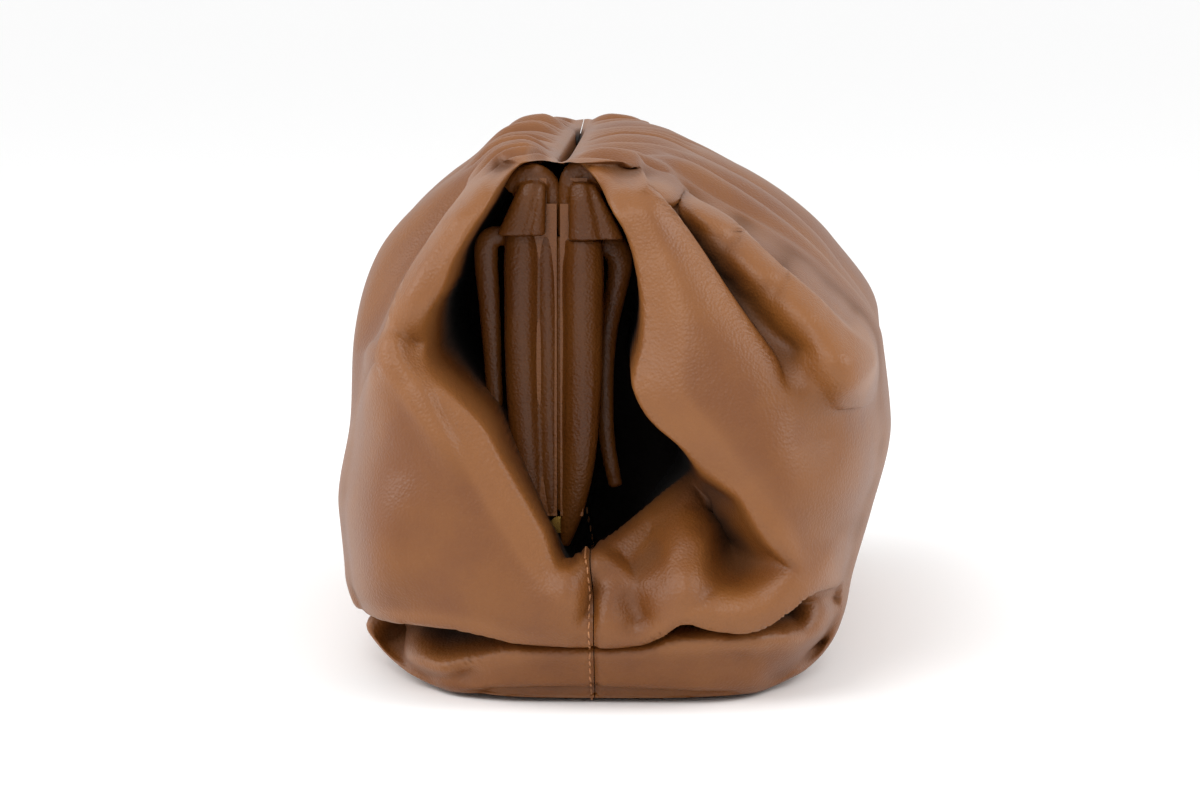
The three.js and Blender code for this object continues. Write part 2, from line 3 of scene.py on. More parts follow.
import bmesh
import bpy
import numpy as np
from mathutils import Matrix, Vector


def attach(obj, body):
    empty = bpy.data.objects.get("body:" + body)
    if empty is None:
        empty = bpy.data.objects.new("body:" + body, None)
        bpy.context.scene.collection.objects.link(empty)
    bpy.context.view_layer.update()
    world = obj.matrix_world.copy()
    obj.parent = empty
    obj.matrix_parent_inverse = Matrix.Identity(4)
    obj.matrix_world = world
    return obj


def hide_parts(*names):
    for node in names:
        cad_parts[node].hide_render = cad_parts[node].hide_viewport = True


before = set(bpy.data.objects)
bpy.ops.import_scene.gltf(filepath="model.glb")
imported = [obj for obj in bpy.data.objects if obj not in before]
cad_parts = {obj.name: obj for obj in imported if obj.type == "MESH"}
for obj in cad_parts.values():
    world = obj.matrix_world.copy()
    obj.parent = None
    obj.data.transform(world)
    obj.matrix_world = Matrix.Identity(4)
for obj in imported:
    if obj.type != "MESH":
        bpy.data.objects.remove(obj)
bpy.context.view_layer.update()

# The view of the bag: its near end seen from in front, a little above it and a little to one
# side, through a long lens, over a pale table.
# IMAGE_WIDE and what follows also place every line that is read from the photograph.
MM = 0.001
IMAGE_WIDE, IMAGE_TALL = 1200, 800
LENS_PIXELS = 4060  # focal length, in pixels of the image
CAMERA_FAR = 1540  # mm from the middle of the bag
CAMERA_HIGH = 274  # mm above the table
CAMERA_TURN = math.radians(1.7)  # round from straight in front of the end
CAMERA_ASIDE = -7.1  # mm, where the middle of the image passes the middle of the bag
CAMERA_DIP = math.radians(7.06)
SENSOR_WIDE = 36

forward = Vector((-math.cos(CAMERA_TURN) * math.cos(CAMERA_DIP),
                  -math.sin(CAMERA_TURN) * math.cos(CAMERA_DIP),
                  -math.sin(CAMERA_DIP)))
to_right = forward.cross(Vector((0, 0, 1))).normalized()
round_bag = Vector((math.cos(CAMERA_TURN), math.sin(CAMERA_TURN), 0)) * CAMERA_FAR
bpy.ops.object.select_all(action="DESELECT")
bpy.ops.object.camera_add()
camera = bpy.context.object
camera.name = "photo_camera"
camera.data.sensor_width = SENSOR_WIDE
camera.data.lens = SENSOR_WIDE * LENS_PIXELS / IMAGE_WIDE
camera.data.clip_end = 50
camera.location = (round_bag + to_right * CAMERA_ASIDE + Vector((0, 0, CAMERA_HIGH))) * MM
camera.rotation_euler = forward.to_track_quat("-Z", "Y").to_euler()
bpy.context.scene.camera = camera
bpy.context.scene.view_settings.view_transform = "Standard"


def seen_at(across, down, out):
    """Where the camera's ray through a pixel of the photograph is at a distance out along the bag, in mm."""
    fall = (down - IMAGE_TALL / 2) / LENS_PIXELS
    far = (CAMERA_FAR - out) / (math.cos(CAMERA_DIP) - fall * math.sin(CAMERA_DIP))
    side = far * (across - IMAGE_WIDE / 2) / LENS_PIXELS + CAMERA_ASIDE + math.tan(CAMERA_TURN) * out
    up = CAMERA_HIGH - far * (math.sin(CAMERA_DIP) + fall * math.cos(CAMERA_DIP))
    return side, up


# The leather skin: smooth calf leather, drum dyed in one saddle brown, with a soft satin finish.
# Each half is one panel, gathered into the frame at the mouth, folded in on itself at both ends
# and joined to the other half by a seam that runs down the ends and under the base.
MOUTH_LINE = -17.8  # the mouth's slit, front to back
SEAM_GAP = 0.15

# Level rings of the skin, from the edge held in the frame, over the crown and down to the middle
# of the base: share of the way, height, seam's place behind the mouth, width of the front and of
# the back, reach of the ends, and how square the front's and the back's corners are.
LEVELS = np.array([
    [0.00, 176, 0.0, 0.8, 0.8, 133, 0.80, 0.80],
    [0.03, 181, 0.0, 2.2, 2.2, 135, 0.80, 0.80],
    [0.06, 183, 0.0, 8.0, 9.0, 138, 0.80, 0.78],
    [0.10, 183, 0.0, 22.0, 29.0, 142, 0.74, 0.72],
    [0.18, 172, 0.0, 43.0, 63.0, 150, 0.66, 0.66],
    [0.28, 145, 0.0, 70.0, 99.5, 160, 0.61, 0.60],
    [0.38, 115, 2.0, 81.5, 116.0, 170, 0.58, 0.58],
    [0.48, 85, 6.0, 86.0, 114.0, 179, 0.57, 0.58],
    [0.58, 55, 12.0, 95.0, 101.0, 186, 0.55, 0.54],
    [0.66, 33, 14.0, 94.0, 92.0, 188, 0.50, 0.50],
    [0.72, 20, 14.0, 89.0, 89.0, 184, 0.46, 0.46],
    [0.78, 8, 14.0, 80.0, 83.0, 179, 0.44, 0.44],
    [0.83, 1, 14.0, 64.0, 70.0, 173, 0.44, 0.44],
    [0.87, 0, 14.0, 50.0, 56.0, 166, 0.46, 0.46],
    [1.00, 0, 14.0, 0.0, 0.0, 150, 0.60, 0.60],
])
SHARE, UP, LINE, FRONT_WIDE, BACK_WIDE, REACH, FRONT_SQUARE, BACK_SQUARE = range(8)

# The fan of folds on an end, line by line: across and down in the photograph, and mm out from the
# middle of the bag. Between the lines the leather is drawn tight over them.
FOLD_LINES = {
    "left lip": [(556, 166, 142), (545, 158, 147), (529, 166, 150), (507, 190, 155), (485, 218, 160),
                 (464, 252, 164), (450, 290, 168), (435, 313, 170)],
    "left roll": [(510, 165, 157), (483, 198, 166), (444, 248, 174), (412, 300, 178)],
    "left roll outside": [(484, 160, 153), (466, 184, 156), (434, 232, 163), (409, 272, 168),
                          (392, 306, 171), (386, 335, 172)],
    "front shoulder": [(386, 345, 173), (394, 368, 175), (412, 397, 179), (440, 442, 184), (468, 490, 187)],
    "left edge of the V": [(430, 378, 173), (455, 396, 177), (478, 418, 180), (494, 446, 182),
                           (512, 478, 184), (532, 512, 185), (552, 543, 185), (566, 558, 184)],
    "brow": [(380, 600, 168), (420, 608, 180), (470, 614, 188), (530, 626, 192), (567, 630, 193),
             (607, 632, 191), (645, 636, 192), (690, 606, 192), (760, 610, 192), (800, 585, 186),
             (830, 565, 172)],
    "base roll": [(440, 678, 160), (500, 668, 178), (560, 664, 180), (607, 665, 181), (680, 660, 181),
                  (740, 655, 179), (800, 632, 168), (828, 610, 158)],
    "right lip": [(563, 160, 141), (572, 158, 148), (590, 180, 154), (612, 212, 160), (628, 240, 165),
                  (636, 275, 169), (640, 310, 172), (640, 340, 175), (632, 370, 180), (636, 395, 183),
                  (652, 420, 184), (678, 442, 183), (702, 462, 183), (730, 481, 184), (748, 496, 186),
                  (766, 526, 187), (786, 552, 184), (797, 574, 180)],
    "right roll": [(600, 140, 150), (628, 190, 162), (652, 240, 170), (672, 300, 177), (684, 350, 183),
                   (700, 400, 187), (730, 440, 189)],
    "first fold": [(623, 133, 148), (642, 168, 156), (662, 203, 163), (690, 246, 169), (714, 285, 173),
                   (742, 328, 177), (770, 370, 180)],
    "second fold": [(640, 137, 146), (667, 157, 152), (702, 190, 157), (738, 217, 161), (782, 264, 165),
                    (822, 302, 167), (852, 337, 165), (872, 356, 160)],
    "ring": [(790, 594, 186), (768, 606, 191), (740, 608, 193)],
}
# Single points that the leather passes through, away from the fold lines.
FOLD_POINTS = [
    (450, 188, 134), (408, 240, 137), (377, 288, 140), (362, 325, 144), (402, 338, 169),
    (416, 340, 166), (416, 362, 168), (368, 400, 158), (372, 470, 166), (362, 540, 166),
    (400, 470, 178), (410, 540, 184), (480, 550, 190), (520, 590, 192), (683, 197, 154),
    (700, 215, 158), (715, 231, 161), (733, 252, 164), (750, 274, 166), (768, 295, 168),
    (784, 315, 170), (800, 335, 170), (811, 350, 170), (790, 285, 166), (722, 212, 158),
    (760, 245, 162), (725, 190, 138), (770, 235, 141), (815, 280, 146), (850, 315, 148),
    (868, 335, 145), (690, 155, 138), (770, 430, 188), (800, 470, 186), (825, 440, 174),
    (845, 400, 160), (850, 470, 160), (838, 530, 154), (815, 520, 176), (706, 514, 171),
    (718, 534, 165), (732, 552, 166), (742, 568, 172), (600, 545, 178), (640, 525, 168),
    (672, 500, 160), (690, 482, 157), (620, 560, 177), (655, 540, 168), (694, 510, 176),
    (690, 545, 186), (684, 580, 192), (604, 566, 184), (608, 600, 188), (607, 625, 190),
    (560, 575, 190), (570, 605, 193),
]
# The rim of the pocket in an end, from the crown down the left and up the right: across, down,
# mm out, and how many mm the leather takes to turn in over it.
POCKET_RIM = [
    (556, 177, 142, 6), (540, 175, 147, 5), (523, 180, 150, 2.5), (503, 198, 155, 2.5),
    (481, 228, 160, 2.5), (461, 260, 164, 2.5), (449, 292, 168, 3), (436, 315, 168, 5),
    (431, 342, 167, 8), (434, 366, 169, 9), (456, 392, 175, 5), (486, 424, 180, 3),
    (505, 458, 182, 2.5), (525, 492, 184, 2.5), (546, 528, 184, 2.5), (563, 556, 183, 5),
    (580, 550, 181, 4), (604, 543, 178, 5), (632, 526, 172, 6), (662, 502, 166, 8), (694, 476, 165, 9),
    (678, 449, 178, 3), (655, 431, 181, 2.5), (637, 408, 181, 2.5), (628, 380, 180, 2.5),
    (636, 345, 175, 2.5), (638, 310, 172, 2.5), (634, 275, 169, 2.5), (625, 240, 165, 2.5),
    (609, 212, 160, 2.5), (589, 190, 154, 2.5), (568, 177, 148, 5),
]
# Overlapping folds: their edge in the photograph, mm of depth along it, mm over which the leather
# drops behind the edge and mm over which it comes back, and the side that lies behind: 1 right
# and -1 left of the way that the edge is read.
LAPS = [
    ("left roll", [(478, 150), (465, 180), (432, 230), (407, 270), (389, 306), (380, 335), (379, 352)],
     [12, 28, 36, 38, 32, 24, 10], 2.0, 30, 1),
    ("behind the left roll", [(478, 152), (465, 182), (432, 232), (407, 272), (389, 308), (380, 337)],
     [4, 12, 14, 14, 12, 4], 1.5, 6, 1),
    ("first fold", [(612, 128), (626, 138), (644, 168), (664, 203), (692, 246), (716, 285), (744, 328),
                    (768, 362), (790, 398)], [0, 5, 12, 20, 23, 20, 14, 7, 0], 2.0, 20, -1),
    ("second fold", [(636, 130), (644, 137), (668, 157), (703, 190), (739, 217), (783, 264), (823, 302),
                     (853, 337), (880, 360)], [0, 5, 12, 20, 24, 22, 14, 6, 0], 2.0, 22, -1),
    ("nose", [(640, 405), (655, 423), (678, 443), (702, 462), (730, 481), (748, 495), (766, 525), (786, 551),
              (797, 572)], [5, 17, 23, 23, 19, 16, 13, 9, 0], 2.0, 26, 1),
    ("under the base roll", [(452, 690), (480, 691), (500, 687), (560, 685), (607, 685), (700, 689),
                             (760, 692)], [0, 4, 5, 5, 5, 4, 0], 1.2, 6, 1),
    ("front shoulder", [(384, 338), (372, 362), (360, 392), (352, 430)], [3, 5, 4, 0], 2.0, 9, 1),
    ("foot of the V", [(558, 552), (571, 561), (594, 560), (610, 566), (624, 575), (640, 590)],
     [0, 5, 8, 8, 5, 0], 1.5, 12, -1),
]
# Soft creases and ridges: their line, mm in or out along it, and half their width.
CREASES = [
    ("dimple", [(712, 500), (720, 525), (734, 550), (746, 572)], [-3, -9, -9, -3], 8),
    ("right pucker", [(622, 590), (632, 608), (640, 624), (648, 638)], [-2, -7, -8, -2], 7),
    ("pucker ridge", [(698, 520), (700, 552), (694, 580), (676, 610)], [1, 4, 4, 2], 8),
    ("left pucker", [(600, 572), (590, 595), (584, 618), (583, 636)], [-2, -8, -8, -2], 4.5),
    ("foot of the V", [(576, 560), (570, 590), (578, 625)], [1, 3, 1], 5),
    ("left dent", [(398, 326), (409, 345), (418, 366)], [-2, -4, -2], 9),
    ("left dent crease", [(434, 308), (431, 330), (427, 352), (422, 374)], [1, 3, 3, 1], 3.5),
    ("shoulder ridge", [(381, 340), (391, 366), (411, 396), (440, 444), (466, 490)], [3, 4, 4, 3, 0], 4),
    ("base hollow", [(705, 656), (745, 664), (780, 667), (800, 663)], [0, -3, -2, 0], 6),
    ("base nick", [(436, 681), (462, 676), (480, 668)], [0, -3, 0], 3),
    ("ring ridge", [(728, 486), (752, 520), (784, 552), (790, 574), (756, 594)], [0, 4, 5, 5, 1], 6),
    ("right flank", [(800, 395), (820, 440), (822, 490)], [0, -3, 0], 7),
    ("below the first fold", [(665, 170), (700, 225), (745, 280), (790, 335)], [-2, -5, -5, -1], 11),
]
# The tuck over the base: the brow's lower edge, the base roll's upper edge, and mm of depth along it.
BROW_EDGE = [(346, 604), (384, 620), (420, 624), (456, 629), (492, 637), (524, 645), (567, 650), (609, 651),
             (644, 648), (662, 636), (674, 625), (688, 621), (710, 628), (740, 632), (762, 627), (787, 611),
             (812, 591), (842, 580)]
ROLL_EDGE = [(346, 618), (384, 643), (400, 657), (436, 673), (470, 666), (505, 656), (543, 652), (575, 651.5),
             (609, 652), (644, 650), (664, 647), (686, 645), (706, 643), (728, 642), (762, 641), (791, 640),
             (810, 636), (840, 608)]
TUCK_DEEP = [5, 22, 36, 36, 32, 24, 14, 11, 14, 22, 28, 32, 34, 34, 34, 32, 20, 3]
# The floor of the V, which is painted with the pocket's shade.
V_FLOOR = [(585, 562), (615, 552), (645, 538), (690, 504)]
ON_THE_END = 170.0  # mm out, where the lines of laps, creases, the tuck and the V's floor are read


def smooth_step(low, high, value):
    """From 0 at low to 1 at high, with soft ends."""
    share = np.clip((value - low) / (high - low), 0, 1)
    return share * share * (3 - 2 * share)


def curve_through(points, steps):
    """A smooth line through points."""
    points = np.asarray(points, float)
    held = np.vstack([2 * points[0] - points[1], points, 2 * points[-1] - points[-2]])
    line = []
    for i in range(1, len(held) - 2):
        before, start, end, after = held[i - 1:i + 3]
        for share in np.arange(steps) / steps:
            line.append(0.5 * (2 * start + (end - before) * share
                               + (2 * before - 5 * start + 4 * end - after) * share ** 2
                               + (3 * start - before - 3 * end + after) * share ** 3))
    line.append(points[-1])
    return np.array(line)


def nearest_on(line, side, up):
    """How far each place is from a line, on which side (left is plus), and its share of the way along."""
    far = np.full(side.shape, 1e9)
    hand = np.zeros_like(side)
    share = np.zeros_like(side)
    count = len(line) - 1
    for i in range(count):
        start, step = line[i], line[i + 1] - line[i]
        length = step @ step
        along = np.clip(((side - start[0]) * step[0] + (up - start[1]) * step[1]) / length, 0, 1)
        off_side = side - start[0] - along * step[0]
        off_up = up - start[1] - along * step[1]
        gap = np.hypot(off_side, off_up)
        nearer = gap < far
        far = np.where(nearer, gap, far)
        turn = (step[0] * off_up - step[1] * off_side) / (math.sqrt(length) * gap + 1e-6)
        hand = np.where(nearer, turn, hand)
        share = np.where(nearer, (i + along) / count, share)
    return far, hand, share


def is_inside(outline, side, up):
    """Whether each place is inside a closed outline."""
    within = np.zeros(side.shape, bool)
    for start, end in zip(outline, np.roll(outline, 1, axis=0)):
        crosses = (start[1] > up) != (end[1] > up)
        share = (up - start[1]) / (end[1] - start[1] + 1e-12)
        within ^= crosses & (side < (end[0] - start[0]) * share + start[0])
    return within


def between(values, share):
    """A value at a share of the way along a line, between values that are spread evenly over it."""
    return np.interp(share * (len(values) - 1), np.arange(len(values)), values)


def level_value(share, column):
    """A smooth value between the level rings, which never overshoots them."""
    at, values = LEVELS[:, SHARE], LEVELS[:, column]
    slopes = np.diff(values) / np.diff(at)
    tangents = np.zeros_like(values)
    product = slopes[:-1] * slopes[1:]
    tangents[1:-1] = np.where(product > 0, 2 * product / (slopes[:-1] + slopes[1:] + 1e-12), 0)
    tangents[0], tangents[-1] = slopes[0], slopes[-1]
    i = np.clip(np.searchsorted(at, share, side="right") - 1, 0, len(at) - 2)
    step = at[i + 1] - at[i]
    q = (share - at[i]) / step
    return ((2 * q ** 3 - 3 * q ** 2 + 1) * values[i] + (q ** 3 - 2 * q ** 2 + q) * step * tangents[i]
            + (3 * q ** 2 - 2 * q ** 3) * values[i + 1] + (q ** 3 - q ** 2) * step * tangents[i + 1])


def plain_skin(level, turn, side):
    """A point of the unfolded skin: side is -1 for the front, and turn runs from the near end round to the
    far one."""
    front = side < 0
    wide = level_value(level, FRONT_WIDE if front else BACK_WIDE)
    power = 2 / level_value(level, FRONT_SQUARE if front else BACK_SQUARE)
    cosine, sine = np.cos(turn), np.sin(turn)
    ring = (np.abs(cosine) ** power + np.abs(sine) ** power) ** (-1 / power)
    return np.stack([level_value(level, REACH) * ring * cosine,
                     MOUTH_LINE + level_value(level, LINE) + side * (wide * ring * sine + SEAM_GAP),
                     level_value(level, UP) + 0 * ring], -1)


def end_knots():
    """The points that the leather of an end is drawn over."""
    knots = []
    for line in FOLD_LINES.values():
        knots.append(curve_through([(*seen_at(*point), point[2]) for point in line], 2))
    knots.append(np.array([(*seen_at(*point), point[2]) for point in FOLD_POINTS]))
    # Beyond the folds the leather comes back to the plain skin, at the sides and over the crown and base.
    for side in (-1, 1):
        for level in np.linspace(0.10, 0.80, 16):
            for turn in (62, 72):
                knots.append(plain_skin(np.array(level), math.radians(turn), side)[[1, 2, 0]][None])
        for level in (0.06, 0.09, 0.81, 0.84):
            for turn in (3, 14, 26, 38, 50):
                knots.append(plain_skin(np.array(level), math.radians(turn), side)[[1, 2, 0]][None])
    return np.vstack(knots)


# The leather of an end is a thin plate through its knots, which may cut the corner a little at each.
STIFFNESS = 4e-3
KNOT_SPAN = 100.0  # mm, the plate's unit of length
knots = end_knots()
knot_at = knots[:, :2] / KNOT_SPAN
squares = ((knot_at[:, None] - knot_at[None]) ** 2).sum(-1)
count = len(knots)
system = np.zeros((count + 3, count + 3))
system[:count, :count] = 0.5 * squares * np.log(squares + 1e-12) + np.eye(count) * STIFFNESS
system[:count, count] = 1
system[:count, count + 1:] = knot_at
system[count, :count] = 1
system[count + 1:, :count] = knot_at.T
knot_pull = np.linalg.solve(system, np.r_[knots[:, 2], 0, 0, 0])


def drawn_over(side, up):
    """How far out a thin plate through the knots is."""
    out = np.zeros(side.size)
    flat_side, flat_up = side.ravel() / KNOT_SPAN, up.ravel() / KNOT_SPAN
    for i in range(0, side.size, 20000):
        some = slice(i, i + 20000)
        away = ((flat_side[some, None] - knot_at[None, :, 0]) ** 2
                + (flat_up[some, None] - knot_at[None, :, 1]) ** 2)
        out[some] = ((0.5 * away * np.log(away + 1e-12)) @ knot_pull[:count] + knot_pull[count]
                     + knot_pull[count + 1] * flat_side[some] + knot_pull[count + 2] * flat_up[some])
    return out.reshape(side.shape)


def along_ray(side, up, out):
    """Where the camera's ray through a point passes the plane on which the folds' lines are read."""
    share = (CAMERA_FAR - ON_THE_END) / (CAMERA_FAR - out)
    middle = CAMERA_ASIDE + math.tan(CAMERA_TURN) * out
    middle_on_end = CAMERA_ASIDE + math.tan(CAMERA_TURN) * ON_THE_END
    return middle_on_end + (side - middle) * share, CAMERA_HIGH - (CAMERA_HIGH - up) * share


def read_line(points, steps=6):
    """A smooth line in mm, on the plane of the end, through points read from the photograph."""
    return curve_through([seen_at(across, down, ON_THE_END) for across, down in points], steps)


lap_lines = [(read_line(points), *rest) for name, points, *rest in LAPS]
crease_lines = [(read_line(points), *rest) for name, points, *rest in CREASES]
brow_line, roll_line = read_line(BROW_EDGE, 4), read_line(ROLL_EDGE, 4)
floor_line = read_line(V_FLOOR)
rim_line = curve_through([seen_at(*point[:3]) for point in POCKET_RIM], 3)
rim_soft = curve_through([(point[3], 0) for point in POCKET_RIM], 3)[:, 0]


def fold_height(side, up):
    """How far laps, creases and the tuck over the base stand out from the drawn leather."""
    height = np.zeros_like(side)
    for line, deep, drop, back, behind in lap_lines:
        far, hand, share = nearest_on(line, side, up)
        past = -far * np.sign(hand) * behind
        fall = -smooth_step(-0.35 * drop, drop, past) * np.exp(-(np.maximum(past, 0) / back) ** 1.6)
        height += between(deep, share) * fall * smooth_step(0.15, 0.6, np.abs(hand))
    for line, deep, wide in crease_lines:
        far, hand, share = nearest_on(line, side, up)
        height += between(deep, share) * np.exp(-(far / wide) ** 2)
    to_brow, _, share = nearest_on(brow_line, side, up)
    to_roll, _, _ = nearest_on(roll_line, side, up)
    within = is_inside(np.vstack([brow_line, roll_line[::-1]]), side, up)
    open_wide = np.maximum(to_brow + to_roll, 1.2)
    part = np.where(within, to_brow / open_wide, 0)
    hollow = np.where(within, smooth_step(-0.05, 0.22, part) * (1 - smooth_step(0.6, 1.0, part)), 0)
    shut = np.exp(-(np.minimum(to_brow, to_roll) / 1.6) ** 2) * (1 - smooth_step(1.5, 5, open_wide))
    return height - between(TUCK_DEEP, share) * np.maximum(hollow, 0.6 * shut)


OVERHANG = 4.0  # mm that the lips of folds hang over
POCKET_FLOOR = 66.0  # mm out from the middle of the bag
LOWER_RIM_FALL = 17.0  # mm that the leather hangs down behind the pocket's lower rim
FOLDS_START = 40.0  # mm out from the middle of the bag
FAR_STRAY = 4.0  # mm by which the folds of the far end lie elsewhere
FAR_DEPTH = 0.85  # how deep those folds are, as a share of the near end's
LEFT_ROLL = lap_lines[0][0]
TURNED_IN = [2, 6, 8, 8, 7, 2]  # mm, along the left roll's edge
TURNED_IN_PAST, TURNED_IN_WIDE = 3.2, 3.0  # mm beyond that edge, and half its width
PLEAT_PITCH, PLEATS_REACH = 38, 114  # mm along the bag, from which each pleat strays a little
PLEAT_DEPTHS, PLEAT_WIDTHS = (2.5, 8), (8, 16)  # mm
PLEAT_ENDS = (0.2, 0.55)  # share of the way from the mouth to the base
PLEAT_SEEDS = {-1: 7, 1: 11}  # of the chance that places the front's and the back's pleats
# The gathers of the front and of the back: pitch and depth in mm, and how far down they reach.
GATHERS = {-1: (19.0, 9.0, 0.17), 1: (27.0, 6.5, 0.15)}
SEAM_DEEP, SEAM_WIDE = 1.5, 1.5  # mm drawn in, and half the width of that
V_FLOOR_SHADE, V_FLOOR_SHADE_WIDE = 0.45, 11.0  # share of the full painted shade, and mm on each side of the V's floor
HOLLOW_PASSES = 120  # of softening, which leave only the shapes that are wider than a fold
COLUMNS, ROWS = 300, 250


def pocket_share(side, up):
    """1 inside the pocket of an end and 0 outside, with the rim's own softness between."""
    far, _, share = nearest_on(rim_line, side, up)
    within = is_inside(rim_line, side, up)
    return smooth_step(-0.25, 0.85, (np.where(within, far, -far) + OVERHANG) / between(rim_soft, share))


def soften(values, times):
    """Evens out a grid of values with its neighbours, a number of times, and leaves its edges."""
    for _ in range(times):
        middle = values[1:-1, 1:-1]
        values[1:-1, 1:-1] = (4 * middle + values[:-2, 1:-1] + values[2:, 1:-1] + values[1:-1, :-2]
                              + values[1:-1, 2:]) / 8
    return values


def side_pleats(chance, along_bag, level):
    """Long soft pleats that run down the sides from the gathers."""
    pleats = np.zeros_like(along_bag)
    for start in np.arange(-PLEATS_REACH, PLEATS_REACH + 1, PLEAT_PITCH):
        start = start + chance.uniform(-14, 14)
        drift = start * 0.25 + chance.uniform(-16, 16)
        deep, wide, low = [chance.uniform(*span) for span in (PLEAT_DEPTHS, PLEAT_WIDTHS, PLEAT_ENDS)]
        middle = start + drift * smooth_step(0.05, 0.5, level)
        spread = wide * (0.4 + 1.5 * smooth_step(0.06, 0.45, level))
        pleats -= (deep * np.exp(-np.abs((along_bag - middle) / spread) ** 1.6)
                   * smooth_step(0.08, 0.2, level) * (1 - smooth_step(low * 0.6, low * 1.5, level)))
    return pleats


def mouth_gathers(side, along_bag, level):
    """Fine gathers that crowd along the mouth, closer in front than behind."""
    pitch, crowd, low = GATHERS[side]
    wave = (along_bag / pitch * 2 * math.pi + 1.6 * np.sin(along_bag / 19)
            + np.sin(along_bag / 8.3 + side) + (level - 0.06) * 14 * np.sin(along_bag / 31))
    uneven = 1 + 0.35 * np.sin(along_bag / 23 + 2 * side) + 0.25 * np.sin(along_bag / 7.7)
    return (crowd * uneven * (np.abs(np.cos(wave / 2)) ** 0.7 - 0.6)
            * smooth_step(0.045, 0.085, level) * (1 - smooth_step(0.08, low, level)))


def slope_of(relief, along, down):
    """The way up the slope of the relief at each point, as long as the slope is steep, and its steepness."""
    slope_along, slope_down = np.gradient(relief, axis=1), np.gradient(relief, axis=0)
    long = (along * along).sum(-1) + 1e-6
    skew = (along * down).sum(-1)
    tall = (down * down).sum(-1) + 1e-6
    cell = long * tall - skew * skew + 1e-6
    slope = (((tall * slope_along - skew * slope_down) / cell)[..., None] * along
             + ((long * slope_down - skew * slope_along) / cell)[..., None] * down)
    return slope, np.linalg.norm(slope, axis=-1, keepdims=True)


